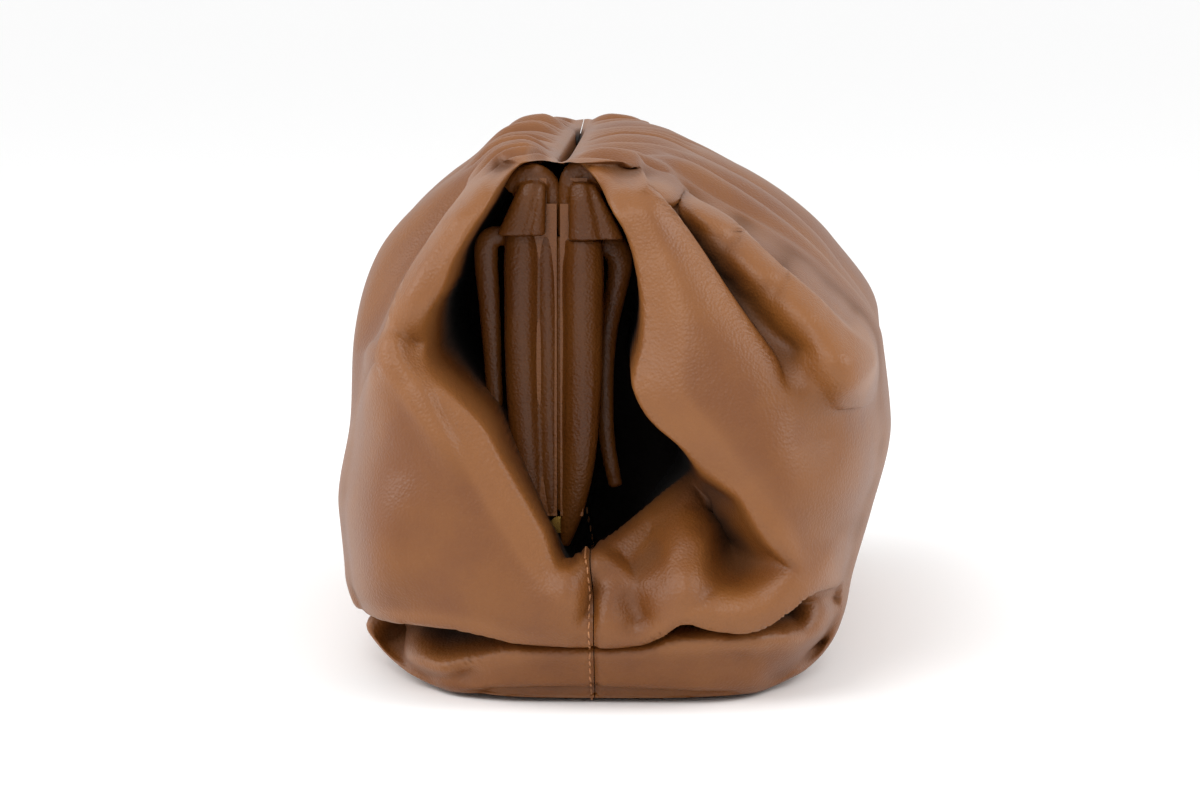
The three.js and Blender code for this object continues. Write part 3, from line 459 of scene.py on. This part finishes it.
def leather_half(side):
    """The points of one half of the skin, row by row from the mouth to the base, and its painted shading:
    from -1, a painted highlight on a crest, to 1, painted shade deep in a fold."""
    share = np.linspace(0, 1, COLUMNS)
    from_middle = np.abs(2 * share - 1)
    closer = 0.42 * from_middle + 0.58 * (1 - (1 - from_middle) ** 1.15)
    turns = math.pi * (0.5 + 0.5 * np.sign(share - 0.5) * closer)
    level, turn = np.meshgrid(np.linspace(0, 1, ROWS), turns, indexing="ij")
    plain = plain_skin(level, turn, side)
    along, down = np.gradient(plain, axis=1), np.gradient(plain, axis=0)
    facing = np.cross(along, down) * -side
    facing[:, [0, -1], 1] = 0
    facing /= np.linalg.norm(facing, axis=-1, keepdims=True) + 1e-9
    along_bag, off_line, up = plain[..., 0], plain[..., 1], plain[..., 2]
    end, reach = np.sign(along_bag), np.abs(along_bag)
    outward = np.abs(facing[..., 0])
    off_seam = np.abs(off_line - MOUTH_LINE - level_value(level, LINE))
    near = reach > FOLDS_START
    # The far end folds in the same way, but not in just the same places.
    stray = FAR_STRAY * (end < 0) * smooth_step(30, 70, np.abs(off_line + 10))
    fold_side = off_line + stray * np.sin(up / 26 + 1)
    fold_up = up + stray * np.sin(off_line / 23 + 2) * smooth_step(10, 40, up)
    to_camera = (outward * math.cos(CAMERA_DIP) + facing[..., 1] * math.sin(CAMERA_TURN)
                 + facing[..., 2] * math.sin(CAMERA_DIP))
    on_end = (smooth_step(0.06, 0.26, outward) * smooth_step(0.07, 0.13, level)
              * (1 - smooth_step(0.78, 0.84, level)))
    on_end = soften(on_end * smooth_step(80, 115, reach), 6)
    drawn = reach.copy()
    drawn[near] += (drawn_over(fold_side[near], fold_up[near]) - reach[near]) * on_end[near]
    pocket = np.zeros_like(reach)
    pocket[near] = pocket_share(fold_side[near], fold_up[near])
    pocket *= smooth_step(60, 100, reach)
    floor = (POCKET_FLOOR + 14 * smooth_step(85, 50, up)
             + 6 * smooth_step(22, 5, np.abs(off_line - MOUTH_LINE)))
    sink = soften(np.maximum(drawn - floor, 0) * pocket, 2)
    seen = along_ray(fold_side[near], fold_up[near], drawn[near])
    below_crown = smooth_step(70, 115, reach) * smooth_step(0.075, 0.13, level)
    height = np.zeros_like(reach)
    height[near] = fold_height(*seen)
    height *= (smooth_step(-0.3, 0.05, to_camera) * (0.45 + 0.55 * smooth_step(0.1, 0.5, to_camera))
               * (1 - pocket) * below_crown)
    height = soften(height * np.where(end < 0, FAR_DEPTH, 1), 1)
    # Beyond the left roll's edge the leather also turns in towards the middle of the bag.
    far, hand, share = nearest_on(LEFT_ROLL, *seen)
    past = -far * np.sign(hand) - TURNED_IN_PAST
    turned_in = np.zeros_like(reach)
    turned_in[near] = -between(TURNED_IN, share) * np.exp(-(past / TURNED_IN_WIDE) ** 2)
    turned_in = soften(turned_in * below_crown, 1)
    chance = np.random.default_rng(PLEAT_SEEDS[side])
    pleats = soften(side_pleats(chance, along_bag, level) * (1 - smooth_step(0.1, 0.4, outward))
                    * (1 - smooth_step(80, 125, reach)), 2)
    gathers = (mouth_gathers(side, along_bag, level) * (1 - smooth_step(0.5, 0.8, on_end))
               * smooth_step(141, 124, reach))
    # The turned-in edges of the seam draw the leather in along it.
    seam = -SEAM_DEEP * np.exp(-(off_seam / SEAM_WIDE) ** 2)
    seam *= smooth_step(0.5, 0.56, level) * (1 - smooth_step(0.8, 0.86, level)) * (outward > 0.3)
    others = pleats + gathers + seam + turned_in
    skin = plain.copy()
    skin[..., 0] = np.where(near, end * drawn, along_bag)
    # Folds stand out along the bag as well as off the skin, the way that the camera reads them.
    into = facing.copy()
    into[..., 0] += end * 3 * smooth_step(0.08, 0.35, to_camera)
    into /= np.linalg.norm(into, axis=-1, keepdims=True) + 1e-9
    skin += into * height[..., None] + facing * others[..., None]
    skin[..., 0] -= end * sink
    # Behind the pocket's lower rim the leather hangs down into the bag.
    skin[..., 2] -= LOWER_RIM_FALL * pocket * smooth_step(95, 62, up) * smooth_step(5, 45, sink)
    # Where the leather drops steeply, its points move down the slope, so that the fold hangs over.
    relief = soften(drawn - reach - sink + height + others, 1)
    slope, steep = slope_of(relief, along, down)
    hangs = smooth_step(0.12, 0.2, level) * (1 - 0.6 * smooth_step(0.56, 0.62, level))
    move = OVERHANG * slope / np.sqrt(1 + steep ** 2) * smooth_step(0.3, 1.8, steep) * hangs[..., None]
    move[..., 1] *= smooth_step(0, 4, off_seam)
    skin -= move
    skin[:, [0, -1], 1] = plain[:, [0, -1], 1]
    skin[..., 2] = np.maximum(skin[..., 2], 0)
    # Painted shade darkens the colour deep in the pocket, behind laps, on the floor of the V and in hollows,
    # and a painted highlight lightens it on crests.
    # Painted shade behind deep laps, on the leather that faces the camera.
    painted_lap_shade = 0.5 * smooth_step(8, 26, -height) * smooth_step(0.35, 0.6, to_camera)
    # Painted shade along the floor of the V.
    painted_v_floor_shade = np.zeros_like(reach)
    to_floor = nearest_on(floor_line, fold_side[near], fold_up[near])[0]
    painted_v_floor_shade[near] = V_FLOOR_SHADE * np.exp(-(to_floor / V_FLOOR_SHADE_WIDE) ** 2)
    hollow = soften(relief.copy(), HOLLOW_PASSES) - relief
    painted_shade_and_highlight = (pocket * smooth_step(0, 34, sink) + painted_lap_shade + painted_v_floor_shade + 0.3 * smooth_step(0.5, 7, hollow)
              - 0.35 * smooth_step(0.3, 6, -hollow))
    return skin, np.clip(painted_shade_and_highlight, -1, 1)


def new_piece(name):
    """Names what an operator has just added."""
    piece = bpy.context.object
    piece.name = piece.data.name = name
    return piece


def finished(piece, material, slot, *nodes):
    """A finished piece rides on the bag, takes its finish and stands for its CAD nodes."""
    piece.data.materials.clear()
    piece.data.materials.append(material)
    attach(piece, "root")
    if nodes:
        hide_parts(*nodes)


def linear(code):
    """An sRGB hex colour as linear red, green, blue and alpha."""
    parts = [int(code[i:i + 2], 16) / 255 for i in (1, 3, 5)]
    return (*[part / 12.92 if part <= 0.04045 else ((part + 0.055) / 1.055) ** 2.4 for part in parts], 1)


def add_node(tree, kind, settings=None, links=None):
    """Adds a shader node, sets its properties or sockets by name, and links its sockets from others."""
    node = tree.nodes.new(kind)
    for key, value in (settings or {}).items():
        if isinstance(key, str) and hasattr(node, key):
            setattr(node, key, value)
        else:
            node.inputs[key].default_value = value
    for key, source in (links or {}).items():
        tree.links.new(source, node.inputs[key])
    return node


# The leather's patterns, in mm: grain as wide as 1, a little coarser than the real one's, so that it
# shows from 1.5 m; creases where it has been bent, which wander over the width of a bend, so that
# they don't look like cells; and patches where the dye took unevenly.
GRAIN_WIDE, GRAIN_DEEP = 1.0, 0.5
CREASES_APART = 1000 / 210  # 210 of them to the metre
CREASE_SHARE = 0.16  # of that distance, on which the leather slopes down to a crease
BEND_WIDE, BEND_SHIFT = 1000 / 70, 12.0
PATCH_WIDE = 31.25


def calf_leather(name, colour, light, painted_highlight, painted_shade, rough, specular):
    """Full-grain calf leather, drum dyed and lightly waxed: fine pebbled grain, soft creases, satin shine."""
    material = bpy.data.materials.new(name)
    material.use_nodes = True
    tree = material.node_tree
    skin = tree.nodes["Principled BSDF"]
    place = add_node(tree, "ShaderNodeTexCoord")
    grain = add_node(tree, "ShaderNodeTexVoronoi",
                     {"feature": "SMOOTH_F1", "Scale": 1 / (GRAIN_WIDE * MM), "Smoothness": 0.6},
                     {"Vector": place.outputs["Object"]})
    bend = add_node(tree, "ShaderNodeTexNoise", {"Scale": 1 / (BEND_WIDE * MM), "Detail": 3.0},
                    {"Vector": place.outputs["Object"]})
    bent = add_node(tree, "ShaderNodeVectorMath", {"operation": "SCALE", "Scale": BEND_SHIFT * MM},
                    {0: bend.outputs["Color"]})
    moved = add_node(tree, "ShaderNodeVectorMath", {"operation": "ADD"},
                     {0: place.outputs["Object"], 1: bent.outputs["Vector"]})
    creases = add_node(tree, "ShaderNodeTexVoronoi",
                       {"feature": "DISTANCE_TO_EDGE", "Scale": 1 / (CREASES_APART * MM)},
                       {"Vector": moved.outputs["Vector"]})
    crease_line = add_node(tree, "ShaderNodeMapRange",
                           {"From Min": 0.0, "From Max": CREASE_SHARE},
                           {"Value": creases.outputs["Distance"]})
    patches = add_node(tree, "ShaderNodeTexNoise",
                       {"Scale": 1 / (PATCH_WIDE * MM), "Detail": 4.0, "Roughness": 0.6},
                       {"Vector": place.outputs["Object"]})
    worn = add_node(tree, "ShaderNodeMapRange", {"From Min": 0.38, "From Max": 0.62},
                    {"Value": patches.outputs["Fac"]})
    crease_depth = add_node(tree, "ShaderNodeMath", {"operation": "MULTIPLY_ADD", 1: 0.12},
                            {0: crease_line.outputs["Result"], 2: grain.outputs["Distance"]})
    # Crests take a painted highlight, and the leather deep in a fold takes painted shade and is duller.
    painted_shade_and_highlight = add_node(tree, "ShaderNodeAttribute", {"attribute_name": "painted_shade_and_highlight"})
    dye = add_node(tree, "ShaderNodeMix", {"data_type": "RGBA", 6: linear(colour), 7: linear(light)},
                   {0: worn.outputs["Result"]})
    highlight_share = add_node(tree, "ShaderNodeMapRange", {"From Min": 0.0, "From Max": -1.0},
                      {"Value": painted_shade_and_highlight.outputs["Fac"]})
    crest = add_node(tree, "ShaderNodeMix", {"data_type": "RGBA", 7: linear(painted_highlight)},
                     {0: highlight_share.outputs["Result"], 6: dye.outputs[2]})
    shade = add_node(tree, "ShaderNodeMix", {"data_type": "RGBA", 7: linear(painted_shade)},
                     {0: painted_shade_and_highlight.outputs["Fac"], 6: crest.outputs[2]})
    tree.links.new(shade.outputs[2], skin.inputs["Base Color"])
    # The wax gives a satin shine, a little uneven over the same patches.
    shine = add_node(tree, "ShaderNodeMapRange", {"To Min": rough - 0.04, "To Max": rough + 0.07},
                     {"Value": patches.outputs["Fac"]})
    covered = add_node(tree, "ShaderNodeMath", {"operation": "MAXIMUM", 1: 0.0}, {0: painted_shade_and_highlight.outputs["Fac"]})
    dull = add_node(tree, "ShaderNodeMath", {"operation": "MULTIPLY_ADD", "use_clamp": True, 1: 0.6},
                    {0: covered.outputs["Value"], 2: shine.outputs["Result"]})
    tree.links.new(dull.outputs["Value"], skin.inputs["Roughness"])
    raised = add_node(tree, "ShaderNodeBump", {"Strength": 0.36, "Distance": GRAIN_DEEP * MM},
                      {"Height": crease_depth.outputs["Value"]})
    tree.links.new(raised.outputs["Normal"], skin.inputs["Normal"])
    skin.inputs["Specular IOR Level"].default_value = specular
    return material


# The skin's crest colour is a painted highlight, and its near black a painted shade in folds.
skin_leather = calf_leather("saddle_calf_leather", colour="#6B3C13", light="#744416",
                            painted_highlight="#8E5C30", painted_shade="#0E0602", rough=0.44, specular=0.44)
SEAM_COLUMN = 2  # columns of the front half in from the seam, where the stitches lie
for side, name, node in ((-1, "leather_front", "body_front"), (1, "leather_back", "body_back")):
    bpy.ops.object.select_all(action="DESELECT")
    bpy.ops.mesh.primitive_grid_add(x_subdivisions=COLUMNS - 1, y_subdivisions=ROWS - 1, size=1)
    half = new_piece(name)
    points, painted_shade_and_highlight = leather_half(side)
    if side < 0:
        seam_points = np.vstack([points[:, SEAM_COLUMN], points[::-1, -1 - SEAM_COLUMN]])
    order = points if side > 0 else points[:, ::-1]
    half.data.vertices.foreach_set("co", (order * MM).ravel())
    # The skin's painted shade and highlight are kept on the mesh for the leather's shader.
    deep = half.data.attributes.new("painted_shade_and_highlight", "FLOAT", "POINT")
    deep.data.foreach_set("value", (painted_shade_and_highlight if side > 0 else painted_shade_and_highlight[:, ::-1]).ravel())
    half.data.update()
    half.data.shade_smooth()
    finished(half, skin_leather, "leather", node)

# The stitches of the seam: waxed thread in the leather's own colour, in short slanting stitches just
# in front of the join, down both ends and under the base.
STITCH_PITCH, STITCH_LONG, STITCH_THICK = 3.4, 2.6, 0.8
STITCH_SLANT = 0.12
THREAD_TWIST = math.pi / 10  # mm from strand to strand
STITCHED_UP_TO = 74  # mm above the table
seam_path = seam_points[seam_points[:, 2] < STITCHED_UP_TO]
steps = np.r_[0, np.cumsum(np.linalg.norm(np.diff(seam_path, axis=0), axis=1))]
stations = np.arange(STITCH_PITCH, steps[-1] - STITCH_PITCH, STITCH_PITCH)
stitch_at = np.stack([np.interp(stations, steps, seam_path[:, i]) for i in range(3)], -1)
stitch_way = np.gradient(stitch_at, axis=0)
bpy.ops.object.select_all(action="DESELECT")
bpy.ops.mesh.primitive_uv_sphere_add(segments=8, ring_count=6, radius=0.5)
stitches = new_piece("seam_stitches")
one_stitch = stitches.data.copy()
grown = bmesh.new()
for place, way in zip(stitch_at, stitch_way):
    turned = Vector(way).to_track_quat("Z", "X").to_matrix().to_4x4()
    first = len(grown.verts)
    grown.from_mesh(one_stitch)
    grown.verts.ensure_lookup_table()
    for vertex in grown.verts[first:]:
        thread = Vector((vertex.co.x * STITCH_THICK, vertex.co.y * STITCH_THICK, vertex.co.z * STITCH_LONG))
        thread.y += STITCH_SLANT * thread.z
        vertex.co = (Vector(place) + turned @ thread) * MM
grown.to_mesh(stitches.data)
grown.free()
bpy.data.meshes.remove(one_stitch)
stitches.data.shade_smooth()
thread_material = bpy.data.materials.new("waxed_thread")
thread_material.use_nodes = True
thread_tree = thread_material.node_tree
thread_skin = thread_tree.nodes["Principled BSDF"]
thread_skin.inputs["Roughness"].default_value = 0.55
thread_place = add_node(thread_tree, "ShaderNodeTexCoord")
# A wave texture has 20 radians to a unit of its scale.
twist = add_node(thread_tree, "ShaderNodeTexWave",
                 {"Scale": 2 * math.pi / 20 / (THREAD_TWIST * MM), "Distortion": 1.0},
                 {"Vector": thread_place.outputs["Object"]})
thread_dye = add_node(thread_tree, "ShaderNodeMix",
                      {"data_type": "RGBA", 6: linear("#8F5A33"), 7: linear("#A9744A")},
                      {0: twist.outputs["Fac"]})
thread_tree.links.new(thread_dye.outputs[2], thread_skin.inputs["Base Color"])
finished(stitches, thread_material, "leather")

# The leather folded round the legs: each end's gusset runs up both legs of the frame in long soft
# rolls, one piece to a leg, and its upper end is tucked under a flat cap sewn over the frame's corner.
# A roll is across and down in the photograph, mm out, and half its width in mm.
LEG_ROLLS = {
    "front": [
        [(507, 239, 124, 3.0), (496, 236, 124, 3.6), (487, 243, 124, 4.2), (486, 262, 123, 4.3),
         (489, 300, 122, 4.0), (492, 350, 121, 3.4), (495, 400, 120, 3.0), (498, 450, 119, 2.6),
         (502, 500, 118, 2.2)],
        [(521, 234, 126, 5.6), (521, 262, 127, 6.2), (521, 310, 127, 6.0), (521, 360, 127, 5.8),
         (523, 410, 127, 5.6), (527, 460, 127, 5.0), (533, 505, 126, 4.0), (540, 532, 125, 2.6)],
        [(546, 234, 126, 3.2), (547, 280, 127, 3.4), (548, 340, 127, 3.3), (548, 400, 127, 3.2),
         (549, 460, 127, 3.0), (551, 515, 127, 2.4)],
    ],
    "back": [
        [(563, 236, 126, 2.8), (562, 280, 126, 3.0), (562, 360, 126, 3.0), (562, 440, 126, 3.0),
         (562, 510, 126, 2.4)],
        [(584, 240, 127, 6.6), (584, 275, 128, 7.2), (584, 330, 128, 7.0), (583, 390, 128, 6.8),
         (580, 450, 128, 6.0), (575, 495, 127, 4.8), (569, 525, 126, 3.4), (565, 546, 125, 1.6)],
        [(598, 242, 122, 4.5), (612, 246, 120, 5.0), (620, 262, 118, 4.6), (616, 290, 116, 4.0),
         (608, 330, 115, 3.6), (605, 380, 114, 3.2), (607, 440, 113, 3.0), (616, 486, 112, 2.6)],
    ],
}
# A corner's cap: its corners from lower left, clockwise, then the rolled lining of the skin above it.
CORNER_CAPS = {
    "front": [(496, 236), (519, 186), (546, 186), (545, 236)],
    "back": [(568, 241), (570, 186), (596, 186), (624, 239)],
}
CORNER_ROLLS = {
    "front": [(511, 190, 123, 3.0), (518, 180, 125, 3.6), (532, 174, 126, 3.8), (546, 179, 126, 3.4),
              (553, 192, 125, 2.8), (552, 232, 124, 2.2)],
    "back": [(564, 236, 125, 2.4), (566, 200, 126, 3.0), (570, 178, 126, 3.6), (580, 169, 126, 3.6),
             (592, 176, 125, 3.4), (600, 190, 124, 3.0)],
}
ROLL_FLAT = 0.75  # depth of a roll along the bag, as a share of its width
ROLL_SIDES = 5  # pieces of a roll's line between two of its points
CAP_OUT, CAP_THICK = 131.0, 5.0  # mm out from the middle of the bag, and mm through
CAP_CUTS = 14
CAP_CROWN, CAP_ARCH = 1.8, 1.2  # mm that its middle stands out, and that its upper edge is arched
CAP_FOLD, CAP_FOLD_WIDE = 1.2, 0.09  # mm deep, and half its width as a share of the cap's
CAP_FOOT, CAP_TOP = 1.5, 1.5  # mm that its foot stands out, and that its top is drawn in
WRAP_VOXEL = 0.8  # mm, finer than the thinnest roll
WRAP_PASSES = 3  # of smoothing, which leave the rolls' lines soft
FAR_WAVE, FAR_WAVE_LONG = 0.4, 9.0  # mm that the far end's wraps waver, and mm to a radian
# The wraps take the same leather painted darker, as painted shade for their place deep in the pocket; their
# crest and fold colours are a painted highlight and painted shade.
gusset_leather_painted_shade = calf_leather("gusset_calf_leather_painted_shade", colour="#552D0A", light="#5D340D",
                              painted_highlight="#7A4A20", painted_shade="#0E0602", rough=0.38, specular=0.32)


def soft_roll(stations):
    """A tube through stations of (across, down, out, half width), flattened along the bag."""
    line = curve_through([(*seen_at(across, down, out), out, half) for across, down, out, half in stations],
                         ROLL_SIDES)
    bpy.ops.object.select_all(action="DESELECT")
    bpy.ops.curve.primitive_nurbs_path_add()
    tube = bpy.context.object
    spline = tube.data.splines[0]
    spline.points.add(len(line) - len(spline.points))
    for point, (side, up, out, half) in zip(spline.points, line):
        point.co = (out * MM, side * MM, up * MM, 1)
        point.radius = half
    spline.use_endpoint_u = True
    tube.data.bevel_depth = MM
    tube.data.bevel_resolution = 4
    tube.data.use_fill_caps = True
    bpy.ops.object.convert(target="MESH")
    middle = float(line[:, 2].mean()) * MM
    for vertex in tube.data.vertices:
        vertex.co.x = middle + (vertex.co.x - middle) * ROLL_FLAT
    return tube


def flat_cap(corners):
    """A crowned cap between four corners, with a soft fold down it."""
    bpy.ops.object.select_all(action="DESELECT")
    bpy.ops.mesh.primitive_cube_add(size=1)
    cap = bpy.context.object
    bpy.ops.object.mode_set(mode="EDIT")
    bpy.ops.mesh.select_all(action="SELECT")
    bpy.ops.mesh.subdivide(number_cuts=CAP_CUTS)
    bpy.ops.object.mode_set(mode="OBJECT")
    low_left, high_left, high_right, low_right = [np.array(seen_at(*corner, CAP_OUT)) for corner in corners]
    for vertex in cap.data.vertices:
        right, top, front = vertex.co.y + 0.5, vertex.co.z + 0.5, vertex.co.x + 0.5
        side, up = ((low_left * (1 - right) + low_right * right) * (1 - top)
                    + (high_left * (1 - right) + high_right * right) * top)
        up += CAP_ARCH * 4 * right * (1 - right) * max(0.0, top - 0.6) / 0.4
        out = (CAP_OUT - (1 - front) * CAP_THICK + CAP_CROWN * (1 - (2 * right - 1) ** 4)
               - CAP_FOLD * math.exp(-((right - 0.62 - 0.1 * top) / CAP_FOLD_WIDE) ** 2)
               + CAP_FOOT * (1 - top) ** 3 - CAP_TOP * max(0.0, top - 0.75) / 0.25)
        vertex.co = Vector((out, side, up)) * MM
    return cap


def wrapped(name, parts, node, end):
    """Joins rolls and caps into one soft skin of leather, at the near end or mirrored to the far one."""
    bpy.ops.object.select_all(action="DESELECT")
    for part in parts:
        part.select_set(True)
    bpy.context.view_layer.objects.active = parts[0]
    bpy.ops.object.join()
    piece = new_piece(name)
    remesh = piece.modifiers.new("remesh", "REMESH")
    remesh.mode = "VOXEL"
    remesh.voxel_size = WRAP_VOXEL * MM
    bpy.ops.object.modifier_apply(modifier="remesh")
    even = piece.modifiers.new("even", "SMOOTH")
    even.factor = 0.5
    even.iterations = WRAP_PASSES
    bpy.ops.object.modifier_apply(modifier="even")
    if end < 0:
        for vertex in piece.data.vertices:
            vertex.co.x = -vertex.co.x
            vertex.co.y += FAR_WAVE * MM * math.sin(vertex.co.z / (FAR_WAVE_LONG * MM))
        piece.data.flip_normals()
    piece.data.shade_smooth()
    finished(piece, gusset_leather_painted_shade, "wrap_leather", node)


for end, end_name in ((1, "near"), (-1, "far")):
    for side_name in ("front", "back"):
        place_name = side_name + "_" + end_name
        rolls = [soft_roll(roll) for roll in LEG_ROLLS[side_name]]
        wrapped("leg_leather_" + place_name, rolls, "leg_wrap_" + place_name, end)
        cap = [flat_cap(CORNER_CAPS[side_name]), soft_roll(CORNER_ROLLS[side_name])]
        wrapped("corner_cap_" + place_name, cap, "corner_wrap_" + place_name, end)

# The frame: two flat steel bars covered in the same leather, with a leg down into each end's
# pocket. Nearly all of it is inside the skin, so the CAD bars stay and take the leather.
for name in ("frame_front", "frame_back"):
    bar = bpy.data.objects[name]
    bar.data.materials.clear()
    bar.data.materials.append(skin_leather)

# The hinges: small brass barrels between the feet of the legs, polished and lightly lacquered.
brass = bpy.data.materials.new("lacquered_brass")
brass.use_nodes = True
brass_tree = brass.node_tree
brass_skin = brass_tree.nodes["Principled BSDF"]
brass_skin.inputs["Metallic"].default_value = 1.0
brass_place = add_node(brass_tree, "ShaderNodeTexCoord")
POLISH_MARKS = 1000 / 1800  # mm apart, coarser than real ones, so that they show
marks = add_node(brass_tree, "ShaderNodeTexNoise", {"Scale": 1 / (POLISH_MARKS * MM), "Detail": 2.0},
                 {"Vector": brass_place.outputs["Object"]})
polish = add_node(brass_tree, "ShaderNodeMapRange", {"To Min": 0.16, "To Max": 0.30},
                  {"Value": marks.outputs["Fac"]})
tarnish = add_node(brass_tree, "ShaderNodeMix",
                   {"data_type": "RGBA", 6: linear("#D9B25F"), 7: linear("#B98F43")},
                   {0: marks.outputs["Fac"]})
brass_tree.links.new(polish.outputs["Result"], brass_skin.inputs["Roughness"])
brass_tree.links.new(tarnish.outputs[2], brass_skin.inputs["Base Color"])
for name in ("hinge_near", "hinge_far"):
    barrel = bpy.data.objects[name]
    barrel.data.materials.clear()
    barrel.data.materials.append(brass)

# The table and the light: a table covered in white paper, in a light tent, with a soft lamp in front and
# one on each side. A lamp has its place and its size in m, and its power in W.
LAMPS = [
    ("front_lamp", (1.3, -0.5, 1.3), 0.7, 9),
    ("left_lamp", (0.3, -1.3, 0.8), 0.8, 8),
    ("right_lamp", (0.3, 1.3, 0.9), 0.8, 9),
]
LAMPS_AIM = Vector((0, 0, 0.1))
TABLE_WIDE = 44  # m, so that its edge is out of sight
bpy.ops.object.select_all(action="DESELECT")
bpy.ops.mesh.primitive_plane_add(size=TABLE_WIDE)
table_top = new_piece("table_top")
paper = bpy.data.materials.new("white_paper")
paper.use_nodes = True
paper_skin = paper.node_tree.nodes["Principled BSDF"]
paper_skin.inputs["Base Color"].default_value = linear("#FBFBFB")
paper_skin.inputs["Roughness"].default_value = 0.9
table_top.data.materials.append(paper)
tent = bpy.data.worlds.new("light_tent")
tent.use_nodes = True
sky = tent.node_tree.nodes["Background"]
sky.inputs["Color"].default_value = (1, 1, 1, 1)
sky.inputs["Strength"].default_value = 1.0
bpy.context.scene.world = tent
for name, place, size, watts in LAMPS:
    bpy.ops.object.light_add(type="AREA", location=place)
    lamp = new_piece(name)
    lamp.data.size = size
    lamp.data.energy = watts
    lamp.rotation_euler = (LAMPS_AIM - Vector(place)).to_track_quat("-Z", "Y").to_euler()
